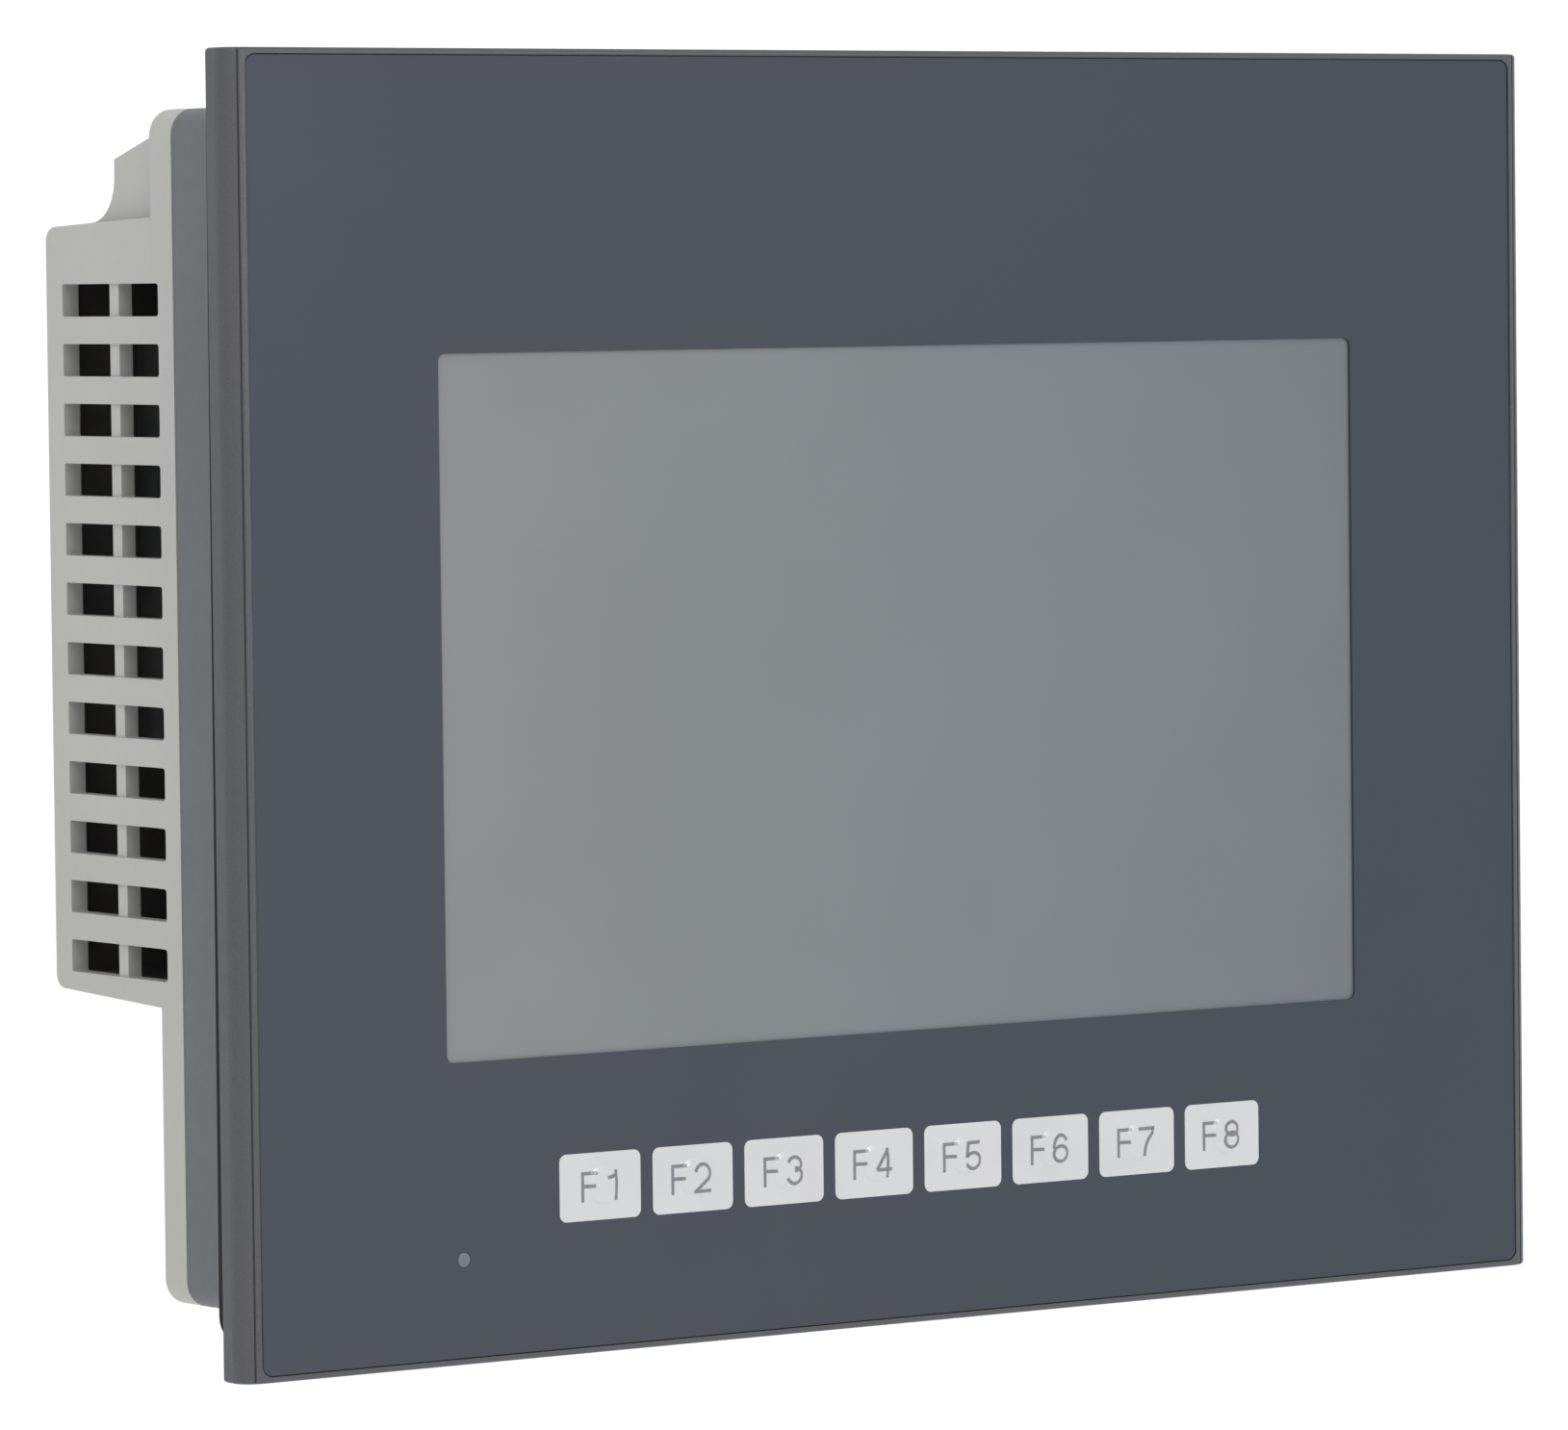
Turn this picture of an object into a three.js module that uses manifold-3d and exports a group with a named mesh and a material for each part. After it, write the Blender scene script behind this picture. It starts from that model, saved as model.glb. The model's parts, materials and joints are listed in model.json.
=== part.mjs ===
// Panel-mount operator touch panel with eight function keys.
// Millimetres. +Z up, the front faces -Y, +Y runs back into the cabinet.
// Origin: centre of the panel cut-out, on the face the sealing gasket presses against.
import * as THREE from 'three'
import { mergeVertices, toCreasedNormals } from 'three/addons/utils/BufferGeometryUtils.js'
import Module from 'manifold-3d'

const wasm = await Module()
wasm.setup()

// ---------------------------------------------------------------- driving dimensions
const OUTER_W = 218                 // front flange width
const OUTER_H = 173                 // front flange height
const FLANGE_T = 5                  // flange thickness, front rim to rear face
const SIDE_ROUND = 3                // rounding of the left and right front edges
const GASKET_PROUD = 1.4            // gasket standing behind the flange
const GASKET_SECTION = 2.5
const GASKET_W = 217.6
const GASKET_H = 164
const GASKET_R = 4
const FRONT = FLANGE_T + GASKET_PROUD   // front plane is this far in front of the origin
const TOTAL_D = 60                  // front plane to rear face of the housing

const BODY_W = 203.4                // part that passes through the cut-out
const BODY_H = 158.2
const BODY_R = 3.5
const WALL = 2.5
const SEAM = 25                     // depth where the dark front case meets the pale cover
const SEAM_GAP = 0.3
const BASE_D = 30.7                 // rear face of the shallow part of the cover
const DRAFT = 0.037                 // wall lean of the deep part, per mm of depth
const HUMP_TOP = 65.2
const HUMP_BOTTOM = -40
const REAR_ROUND = 2                // rear top and bottom edges of the deep part
const SIDE_EASE = 0.7               // upright edges of the deep part
const BLOCK_D = 44.5                // rear face of the block above the deep part
const BLOCK_HALF = 98.7             // half the block's length
const BLOCK_FRONT_TOP = 76.9        // its top slopes down towards the rear
const BLOCK_REAR_TOP = 72.7
const WELL_R = 3.1                  // wells of the four case screws

const SHEET_W = 212.1               // printed overlay
const SHEET_H = 171.1
const SHEET_R = 1.5
const SHEET_T = 0.35
const SHEET_FACE = 0.1              // overlay face below the rim
const RECESS = 0.5                  // overlay recess in the case
const WINDOW_W = 153.6              // visible screen area
const WINDOW_H = 93.2
const PLATE_REAR = 2.5              // rear of the case front plate

const KEY_COUNT = 8
const KEY_PITCH = 15.05
const KEY_W = 13.15
const KEY_H = 9.1
const KEY_R = 1.1
const KEY_Z = -64.3
const KEY_GAP = 0.1
const KEY_FLOOR = 2.8               // front of the key's retaining flange
const DOME_R = 3                    // embossed dome in the middle of each key
const DOME_RISE = 0.25

const LED_X = -74.5
const LED_Z = -72.6
const LED_R = 1

const VENT_ROWS = 12
const VENT_PITCH = 8
const VENT_TOP_Z = 54
const VENT_H = 4.35
const VENT_FRONT = 29.1             // slot ends, as depths
const VENT_REAR = 55.1
const VENT_BAR = [40.6, 42.9]       // upright bar that halves every slot

const LCD_W = 165
const LCD_H = 104
const SHIELD_D = 14
const BOARD_D = 38
const BOARD_T = 1.6
const BOARD_REAR = BOARD_D + BOARD_T
const PORT_D = BOARD_REAR + 0.3     // connectors sit on the rear of the main board

// ---------------------------------------------------------------- helpers
const yOf = depth => depth - FRONT  // depth behind the front plane to frame Y

const AXES = {
  // shape x,y and extrusion z laid on frame axes
  back: [new THREE.Vector3(1, 0, 0), new THREE.Vector3(0, 0, 1), new THREE.Vector3(0, -1, 0)],
  side: [new THREE.Vector3(0, 1, 0), new THREE.Vector3(0, 0, 1), new THREE.Vector3(1, 0, 0)]
}

function basis(name) {
  return new THREE.Matrix4().makeBasis(...AXES[name])
}

function roundRect(w, h, r, cx = 0, cy = 0) {
  const shape = new THREE.Shape()
  const x0 = cx - w / 2
  const x1 = cx + w / 2
  const y0 = cy - h / 2
  const y1 = cy + h / 2
  shape.moveTo(x0 + r, y0)
  shape.lineTo(x1 - r, y0)
  shape.absarc(x1 - r, y0 + r, r, -Math.PI / 2, 0, false)
  shape.lineTo(x1, y1 - r)
  shape.absarc(x1 - r, y1 - r, r, 0, Math.PI / 2, false)
  shape.lineTo(x0 + r, y1)
  shape.absarc(x0 + r, y1 - r, r, Math.PI / 2, Math.PI, false)
  shape.lineTo(x0, y0 + r)
  shape.absarc(x0 + r, y0 + r, r, Math.PI, Math.PI * 1.5, false)
  return shape
}

function polygon(points) {
  return new THREE.Shape(points.map(([x, y]) => new THREE.Vector2(x, y)))
}

function extrude(shape, length, segments = 2) {
  return new THREE.ExtrudeGeometry(shape, { depth: length, bevelEnabled: false, curveSegments: segments })
}

// flat shape facing front, filled from depth d0 to depth d1
function plate(shape, d0, d1, segments = 2) {
  return extrude(shape, d1 - d0, segments).applyMatrix4(basis('back')).translate(0, yOf(d1), 0)
}

// profile drawn in frame Y,Z and filled from x0 to x1
function bar(shape, x0, x1, segments = 2) {
  return extrude(shape, x1 - x0, segments).applyMatrix4(basis('side')).translate(x0, 0, 0)
}

function block(x0, x1, d0, d1, z0, z1) {
  return new THREE.BoxGeometry(x1 - x0, d1 - d0, z1 - z0)
    .translate((x0 + x1) / 2, yOf((d0 + d1) / 2), (z0 + z1) / 2)
}

// cylinder along the depth axis
function rod(r, d0, d1, x, z, sides = 16) {
  return new THREE.CylinderGeometry(r, r, d1 - d0, sides).translate(x, yOf((d0 + d1) / 2), z)
}

// cylinder standing along Z
function post(r, z0, z1, x, depth, sides = 12) {
  return new THREE.CylinderGeometry(r, r, z1 - z0, sides)
    .rotateX(Math.PI / 2)
    .translate(x, yOf(depth), (z0 + z1) / 2)
}

function toSolid(geometry) {
  const clean = geometry.clone()
  clean.deleteAttribute('normal')
  clean.deleteAttribute('uv')
  const merged = mergeVertices(clean, 1e-4)
  return new wasm.Manifold(new wasm.Mesh({
    numProp: 3,
    vertProperties: new Float32Array(merged.attributes.position.array),
    triVerts: new Uint32Array(merged.index.array)
  }))
}

function toGeometry(solid) {
  const mesh = solid.getMesh()
  const geometry = new THREE.BufferGeometry()
  geometry.setAttribute('position', new THREE.BufferAttribute(new Float32Array(mesh.vertProperties), 3))
  geometry.setIndex(new THREE.BufferAttribute(new Uint32Array(mesh.triVerts), 1))
  return toCreasedNormals(geometry, 0.6)
}

function union(...geometries) {
  return geometries.map(toSolid).reduce((a, b) => a.add(b))
}

// solid made of `adds` with every geometry of `cuts` taken away
function carve(adds, cuts = []) {
  let solid = union(...adds)
  for (const cut of cuts) solid = solid.subtract(toSolid(cut))
  return toGeometry(solid)
}

const FINISH = {
  darkCase: { color: 0x64696d, roughness: 0.6, metalness: 0 },
  overlay: { color: 0x51565e, roughness: 0.45, metalness: 0 },
  paleCase: { color: 0xb6b6b3, roughness: 0.6, metalness: 0 },
  key: { color: 0xd5dada, roughness: 0.45, metalness: 0 },
  glass: { color: 0x8a8e91, roughness: 0.15, metalness: 0 },
  screen: { color: 0x55595c, roughness: 0.3, metalness: 0 },
  rubber: { color: 0x262628, roughness: 0.9, metalness: 0 },
  steel: { color: 0xa9acaf, roughness: 0.35, metalness: 0.9 },
  alloy: { color: 0xb4b6b8, roughness: 0.4, metalness: 0.9 },
  board: { color: 0x1f5136, roughness: 0.5, metalness: 0 },
  chip: { color: 0x17181a, roughness: 0.5, metalness: 0 },
  plug: { color: 0x2d7d46, roughness: 0.5, metalness: 0 },
  ribbon: { color: 0xd9d4c4, roughness: 0.5, metalness: 0 },
  lamp: { color: 0x828a91, roughness: 0.25, metalness: 0 },
  label: { color: 0xc9cbcb, roughness: 0.5, metalness: 0 }
}

const group = new THREE.Group()
group.name = 'hmi_touch_panel'

function addPart(name, geometry, finish) {
  const mesh = new THREE.Mesh(geometry, new THREE.MeshStandardMaterial({ ...FINISH[finish] }))
  mesh.name = name
  group.add(mesh)
}

// ---------------------------------------------------------------- shared positions
const keyX = index => (index - (KEY_COUNT - 1) / 2) * KEY_PITCH
const CASE_SCREWS = [[-90, 69], [90, 69], [-92, -70], [92, -70]]
const LCD_SCREWS = [[-86, 34], [86, 34], [-86, -34], [86, -34]]
const BOARD_SCREWS = [[-84, 54], [84, 54], [-84, -18], [84, -18]]
const lean = depth => (depth - SEAM) * DRAFT
const wellFloor = z => (z > 0 ? 34 : BASE_D - 3)

// ---------------------------------------------------------------- front case
// plan outline of the flange: straight sides, rounded front edges with a fine groove
function flangePlan() {
  const half = OUTER_W / 2
  const shape = new THREE.Shape()
  const front = yOf(0)
  const rear = yOf(FLANGE_T)
  shape.moveTo(-half, rear)
  shape.lineTo(-half, front + SIDE_ROUND)
  shape.absarc(-half + SIDE_ROUND, front + SIDE_ROUND, SIDE_ROUND, Math.PI, Math.PI * 1.5, false)
  shape.lineTo(half - SIDE_ROUND, front)
  shape.absarc(half - SIDE_ROUND, front + SIDE_ROUND, SIDE_ROUND, -Math.PI / 2, 0, false)
  shape.lineTo(half, rear)
  return shape
}

function sideGroove(side) {
  return new THREE.BoxGeometry(0.35, 1, OUTER_H + 2)
    .translate(side * (OUTER_W / 2 - 1.8), yOf(0.4), 0)
}

// outer corners of the flange, seen from the front, are only just eased
function cornerTrim(sx, sz) {
  const r = 0.8
  const x = sx * (OUTER_W / 2 - r)
  const z = sz * (OUTER_H / 2 - r)
  const square = block(Math.min(x, x + sx * 2), Math.max(x, x + sx * 2), -1, FLANGE_T + 1,
    Math.min(z, z + sz * 2), Math.max(z, z + sz * 2))
  return toGeometry(toSolid(square).subtract(toSolid(rod(r, -2, FLANGE_T + 2, x, z, 12))))
}

function frontCase() {
  const flange = extrude(flangePlan(), OUTER_H, 6).translate(0, 0, -OUTER_H / 2)
  const collar = plate(roundRect(BODY_W, BODY_H, BODY_R), FLANGE_T - 1, SEAM, 4)
  const hollow = plate(roundRect(BODY_W - 2 * WALL, BODY_H - 2 * WALL, BODY_R - 1.5), PLATE_REAR, SEAM + 1)
  const recess = plate(roundRect(SHEET_W + 0.5, SHEET_H + 0.5, SHEET_R + 0.2), -1, RECESS)
  const window = plate(roundRect(WINDOW_W + 5, WINDOW_H + 5, 1.5), -1, PLATE_REAR + 1)
  const cuts = [hollow, recess, window, sideGroove(-1), sideGroove(1)]
  for (const sx of [-1, 1]) {
    for (const sz of [-1, 1]) cuts.push(cornerTrim(sx, sz))
  }
  for (let i = 0; i < KEY_COUNT; i += 1) {
    const mouth = roundRect(KEY_W + 0.5, KEY_H + 0.5, KEY_R + 0.2, keyX(i), KEY_Z)
    cuts.push(plate(mouth, -1, PLATE_REAR + 1))
  }
  cuts.push(rod(LED_R + 0.15, -1, PLATE_REAR + 1, LED_X, LED_Z, 16))
  // pockets in the top and bottom walls that installation fasteners hook into
  for (const x of [-62, 62]) {
    for (const side of [-1, 1]) {
      const z = side * BODY_H / 2
      cuts.push(block(x - 7, x + 7, 10, 15, z - 1.4, z + 1.4))
    }
  }
  const front = carve([flange, collar], cuts)
  // screw posts and rests stand on the rear of the front plate
  const posts = []
  const holes = []
  for (const [x, z] of CASE_SCREWS) {
    posts.push(rod(3.6, PLATE_REAR - 0.3, SEAM - 0.4, x, z))
    holes.push(rod(1.6, 12, SEAM + 1, x, z, 12))
  }
  for (const [x, z] of LCD_SCREWS) {
    posts.push(rod(2.6, PLATE_REAR - 0.3, 6.5, x, z, 12))
    holes.push(rod(1.15, 3.5, 7, x, z, 12))
  }
  for (const x of [-70, 64]) posts.push(rod(1.8, PLATE_REAR - 0.3, 4.2, x, KEY_Z, 8))
  let solid = toSolid(front)
  for (const item of posts) solid = solid.add(toSolid(item))
  for (const item of holes) solid = solid.subtract(toSolid(item))
  addPart('front_case', toGeometry(solid), 'darkCase')
}

// ---------------------------------------------------------------- overlay, keys and lamp
function overlaySheet() {
  const sheet = plate(roundRect(SHEET_W, SHEET_H, SHEET_R), SHEET_FACE, SHEET_FACE + SHEET_T, 3)
  const cuts = [plate(roundRect(WINDOW_W, WINDOW_H, 1.1), -1, 2, 3)]
  for (let i = 0; i < KEY_COUNT; i += 1) {
    cuts.push(plate(roundRect(KEY_W, KEY_H, KEY_R, keyX(i), KEY_Z), -1, 2, 3))
  }
  cuts.push(rod(LED_R + 0.08, -1, 2, LED_X, LED_Z))
  addPart('front_sheet', carve([sheet], cuts), 'overlay')
}

function functionKey(index) {
  const x = keyX(index)
  const w = KEY_W - 2 * KEY_GAP
  const h = KEY_H - 2 * KEY_GAP
  const cap = plate(roundRect(w, h, KEY_R - KEY_GAP, x, KEY_Z), SHEET_FACE, KEY_FLOOR + 0.2, 3)
  const flange = block(x - 7.2, x + 7.2, KEY_FLOOR, KEY_FLOOR + 0.5, KEY_Z - 5.4, KEY_Z + 5.4)
  // shallow embossed dome, a turned profile with its axis along the depth
  const profile = [
    [0, 0.6], [DOME_R, 0.6], [DOME_R, 0], [DOME_R - 0.5, -DOME_RISE * 0.75],
    [1.2, -DOME_RISE], [0, -DOME_RISE]
  ].map(([r, d]) => new THREE.Vector2(r, d))
  const dome = new THREE.LatheGeometry(profile.reverse(), 20).translate(x, yOf(SHEET_FACE), KEY_Z)
  const nib = rod(1.2, KEY_FLOOR, KEY_FLOOR + 0.8, x, KEY_Z, 10)
  addPart(`key_f${index + 1}`, carve([cap, flange, dome, nib]), 'key')
}

function keyBoard() {
  const slab = block(-80, 70, 4.4, 6, -76, -57)
  const cuts = []
  const domes = []
  for (let i = 0; i < KEY_COUNT; i += 1) domes.push(rod(2.4, 4.15, 4.6, keyX(i), KEY_Z, 12))
  cuts.push(rod(0.9, 4, 7, -77, -60, 12))
  addPart('key_board', carve([slab, ...domes], cuts), 'board')
}

function statusLamp() {
  addPart('led_lens', carve([rod(LED_R, SHEET_FACE, 3.1, LED_X, LED_Z)]), 'lamp')
  addPart('status_led', block(LED_X - 1.5, LED_X + 1.5, 3.3, 4.3, LED_Z - 1, LED_Z + 1), 'lamp')
}

// ---------------------------------------------------------------- screen stack
function screenStack() {
  addPart('touch_panel', plate(roundRect(WINDOW_W + 4.4, WINDOW_H + 4.4, 1.2), 0.5, 1.9), 'glass')
  addPart('lcd_panel', plate(roundRect(157, 96, 0.8), 2.2, 3.8), 'screen')
  addPart('lcd_backlight', plate(roundRect(157, 96, 0.8), 4.1, 7.7), 'label')
  const tray = plate(roundRect(LCD_W, LCD_H, 1.5), 2.9, 8.8)
  const pocket = plate(roundRect(158, 97, 1), 2, 8)
  const ears = []
  const holes = [pocket]
  for (const [x, z] of LCD_SCREWS) {
    const side = Math.sign(x)
    const near = side * (LCD_W / 2 - 1)
    const far = x + side * 3
    ears.push(block(Math.min(near, far), Math.max(near, far), 6.8, 7.8, z - 4, z + 4))
    holes.push(rod(1.3, 6, 9, x, z, 12))
  }
  addPart('lcd_frame', carve([tray, ...ears], holes), 'steel')
}

// ---------------------------------------------------------------- sealing gasket
function gasket() {
  const ring = new THREE.Shape(roundRect(GASKET_W, GASKET_H, GASKET_R).getPoints(4))
  const inner = roundRect(GASKET_W - 2 * GASKET_SECTION, GASKET_H - 2 * GASKET_SECTION, GASKET_R - GASKET_SECTION)
  ring.holes.push(new THREE.Path(inner.getPoints(4)))
  addPart('gasket', carve([plate(ring, FLANGE_T + 0.1, FLANGE_T + GASKET_PROUD)]), 'rubber')
}

// ---------------------------------------------------------------- rear cover
// block whose walls lean in with depth, rounded at its rear top and bottom, with its side edges eased
function leaningBlock(w, z0, z1, d0, d1, round, ease) {
  const rear = yOf(d1)
  const low = z0 + lean(d1)
  const high = z1 - lean(d1)
  const shape = new THREE.Shape()
  shape.moveTo(yOf(d0), z0 + lean(d0))
  shape.lineTo(rear - round, low)
  shape.absarc(rear - round, low + round, round, -Math.PI / 2, 0, false)
  shape.lineTo(rear, high - round)
  shape.absarc(rear - round, high - round, round, 0, Math.PI / 2, false)
  shape.lineTo(yOf(d0), z1 - lean(d0))
  const geometry = new THREE.ExtrudeGeometry(shape, {
    depth: w - 2 * ease, bevelEnabled: true, bevelThickness: ease, bevelSize: ease, bevelOffset: -ease,
    bevelSegments: 2, curveSegments: 2
  })
  geometry.applyMatrix4(basis('side')).translate(ease - w / 2, 0, 0)
  const position = geometry.attributes.position
  for (let i = 0; i < position.count; i += 1) {
    const inset = lean(position.getY(i) + FRONT)
    position.setX(i, position.getX(i) * (1 - inset / (w / 2)))
  }
  return geometry
}

// side profile of the block above the deep part: sloping top, upright back, coved foot
function upperProfile(inset) {
  const cove = 6 + inset
  const back = BLOCK_D - inset
  const foot = HUMP_TOP - lean(48) - inset
  const shape = new THREE.Shape()
  const slope = (BLOCK_FRONT_TOP - BLOCK_REAR_TOP) / (BLOCK_D - BASE_D)
  const topAt = depth => BLOCK_FRONT_TOP - (depth - BASE_D) * slope - inset * 1.05
  const start = SEAM + 2
  shape.moveTo(yOf(start), foot - 8)
  shape.lineTo(yOf(back + cove), foot - 8)
  shape.lineTo(yOf(back + cove), foot)
  shape.absarc(yOf(back + cove), foot + cove, cove, -Math.PI / 2, -Math.PI, true)
  shape.lineTo(yOf(back), topAt(back))
  shape.lineTo(yOf(start), topAt(start))
  return shape
}

function ventSlot(side, row) {
  const z = VENT_TOP_Z - row * VENT_PITCH
  const wallX = side * BODY_W / 2
  const reach = 5
  const x0 = Math.min(wallX - side * reach, wallX + side)
  const x1 = Math.max(wallX - side * reach, wallX + side)
  const windows = [[VENT_FRONT, VENT_BAR[0]], [VENT_BAR[1], VENT_REAR]].map(([d0, d1]) =>
    block(x0, x1, d0, d1, z - VENT_H / 2, z + VENT_H / 2))
  // the dividing bar sits just below the wall face
  const barMid = (VENT_BAR[0] + VENT_BAR[1]) / 2
  const face = wallX - side * (lean(barMid) + 0.4)
  windows.push(block(Math.min(face, face + side * 2), Math.max(face, face + side * 2),
    VENT_BAR[0] - 1, VENT_BAR[1] + 1, z - VENT_H / 2, z + VENT_H / 2))
  return windows
}

const CARD_DOOR = { x0: -74, x1: -40, d0: 41, d1: 53 }
const DOOR_PIN_D = CARD_DOOR.d1 - 1.4
const DOOR_PIN_Z = HUMP_BOTTOM + 2.5

// cylinder on the card door's hinge axis, dx from the door's middle
function doorAxle(r, length, dx, sides = 14) {
  return new THREE.CylinderGeometry(r, r, length, sides).rotateZ(Math.PI / 2)
    .translate((CARD_DOOR.x0 + CARD_DOOR.x1) / 2 + dx, yOf(DOOR_PIN_D), DOOR_PIN_Z)
}

const SOCKETS = {
  power: { x: 78, w: 20, d0: 41.5, d1: 55.5 },
  serial: { x: 44, w: 31.5, d0: 41.4, d1: 54.4 },
  com2: { x: 14, w: 16.6, d0: 39.7, d1: 54 },
  ethernet: { x: -7, w: 16.6, d0: 39.7, d1: 54 },
  usb: { x: -26, w: 15, d0: 39.7, d1: 47.6 },
  mini: { x: -26, w: 8.8, d0: 49.3, d1: 54 }
}

function rearCover() {
  const cover = union(
    plate(roundRect(BODY_W, BODY_H, BODY_R), SEAM + SEAM_GAP, BASE_D, 5),
    leaningBlock(BODY_W, HUMP_BOTTOM, HUMP_TOP, SEAM + SEAM_GAP, TOTAL_D, REAR_ROUND, SIDE_EASE),
    bar(upperProfile(0), -BLOCK_HALF, BLOCK_HALF, 6)
  )
  const cuts = [
    plate(roundRect(BODY_W - 2 * WALL, BODY_H - 2 * WALL, BODY_R - 1.5), SEAM, BASE_D - WALL),
    leaningBlock(BODY_W - 2 * WALL, HUMP_BOTTOM + WALL, HUMP_TOP - WALL, SEAM - 3, TOTAL_D - WALL, 1, 0.4),
    bar(upperProfile(WALL), WALL - BLOCK_HALF, BLOCK_HALF - WALL, 4)
  ]
  for (const side of [-1, 1]) {
    for (let row = 0; row < VENT_ROWS; row += 1) cuts.push(...ventSlot(side, row))
  }
  // connector mouths through the underside of the deep part
  for (const { x, w, d0, d1 } of Object.values(SOCKETS)) {
    const half = w / 2 + 0.4
    cuts.push(block(x - half, x + half, d0 - 0.4, d1 + 0.4, HUMP_BOTTOM - 2, HUMP_BOTTOM + 5))
  }
  const door = CARD_DOOR
  cuts.push(block(door.x0 - 0.3, door.x1 + 0.3, door.d0 - 0.3, door.d1 + 0.8,
    HUMP_BOTTOM - 2, HUMP_BOTTOM + 5))
  // recess for the rating label
  cuts.push(block(-45, 45, TOTAL_D - 0.3, TOTAL_D + 1, -12, 44))
  let solid = cover
  for (const cut of cuts) solid = solid.subtract(toSolid(cut))
  // screw wells, open to the rear, with a tube around the shank
  for (const [x, z] of CASE_SCREWS) {
    const floor = wellFloor(z)
    solid = solid.add(toSolid(rod(4.6, SEAM - 0.1, z > 0 ? 41.5 : BASE_D - 0.5, x, z)))
    solid = solid.subtract(toSolid(rod(WELL_R, floor, TOTAL_D, x, z)))
    solid = solid.subtract(toSolid(rod(1.75, SEAM - 1, floor + 1, x, z, 12)))
  }
  // lugs that carry the card door hinge pin
  for (const x of [door.x0 + 1.5, door.x1 - 1.5]) {
    const lug = block(x - 1, x + 1, door.d1 - 3, door.d1 + 2, HUMP_BOTTOM + 1.2, HUMP_BOTTOM + 5.6)
    solid = solid.add(toSolid(lug))
  }
  solid = solid.subtract(toSolid(doorAxle(0.75, 40, 0)))
  addPart('rear_cover', toGeometry(solid), 'paleCase')
}

function caseScrew(index) {
  const [x, z] = CASE_SCREWS[index]
  const floor = wellFloor(z) + 0.1
  const head = rod(WELL_R - 0.4, floor, floor + 2, x, z)
  const shank = rod(1.5, 13, floor + 0.5, x, z, 10)
  const slotA = block(x - 1.7, x + 1.7, floor + 1, floor + 3, z - 0.35, z + 0.35)
  const slotB = block(x - 0.35, x + 0.35, floor + 1, floor + 3, z - 1.7, z + 1.7)
  addPart(`case_screw_${index + 1}`, carve([head, shank], [slotA, slotB]), 'steel')
}

// small pan-head screw driven forward along -Y
function panScrew(name, x, z, seat, tip, headR, shankR) {
  const head = rod(headR, seat, seat + headR * 0.7, x, z, 12)
  const shank = rod(shankR, tip, seat + 0.3, x, z, 8)
  const reach = headR * 0.65
  const slot = block(x - reach, x + reach, seat + headR * 0.35, seat + headR, z - 0.25, z + 0.25)
  addPart(name, carve([head, shank], [slot]), 'steel')
}

function ratingLabel() {
  addPart('rating_label', block(-44.5, 44.5, TOTAL_D - 0.25, TOTAL_D, -11.5, 43.5), 'label')
}

// ---------------------------------------------------------------- inner chassis and boards
function shieldPlate() {
  const slab = block(-96, 96, SHIELD_D, SHIELD_D + 1, -74, 74)
  const posts = BOARD_SCREWS.map(([x, z]) => rod(3, SHIELD_D + 0.5, BOARD_D - 0.1, x, z, 8))
  // corners are notched around the case screw posts
  const cuts = CASE_SCREWS.map(([x, z]) => {
    const sx = Math.sign(x)
    const sz = Math.sign(z)
    const nearX = x - sx * 5
    const nearZ = z - sz * 5
    return block(Math.min(nearX, sx * 100), Math.max(nearX, sx * 100), SHIELD_D - 1, SHIELD_D + 2,
      Math.min(nearZ, sz * 80), Math.max(nearZ, sz * 80))
  })
  cuts.push(block(-20, 20, SHIELD_D - 1, SHIELD_D + 2, -8, 0))
  cuts.push(block(-68, -52, SHIELD_D - 1, SHIELD_D + 2, 2, 10))
  cuts.push(block(26, 46, SHIELD_D - 1, SHIELD_D + 2, -52, -44))
  for (const [x, z] of BOARD_SCREWS) cuts.push(rod(1.25, 28, BOARD_D + 1, x, z, 8))
  addPart('shield_plate', carve([slab, ...posts], cuts), 'steel')
}

function mainBoard() {
  const slab = block(-90, 90, BOARD_D, BOARD_REAR, -34, 60)
  const holes = BOARD_SCREWS.map(([x, z]) => rod(1.4, BOARD_D - 1, BOARD_REAR + 1, x, z, 10))
  addPart('main_board', carve([slab], holes), 'board')
}

const SINK = { x0: -88, x1: -38, z0: -6, z1: 48 }

function processorAndSink() {
  const cx = (SINK.x0 + SINK.x1) / 2
  const cz = (SINK.z0 + SINK.z1) / 2
  addPart('processor', block(cx - 14, cx + 14, PORT_D, PORT_D + 2, cz - 14, cz + 14), 'chip')
  const base = block(SINK.x0, SINK.x1, PORT_D + 2.2, PORT_D + 5, SINK.z0, SINK.z1)
  const fins = []
  const count = 13
  const step = (SINK.x1 - SINK.x0 - 1.4) / (count - 1)
  for (let i = 0; i < count; i += 1) {
    const x = SINK.x0 + i * step
    fins.push(block(x, x + 1.4, PORT_D + 4.5, 56.5, SINK.z0, SINK.z1))
  }
  addPart('heat_sink', carve([base, ...fins]), 'alloy')
}

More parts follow.
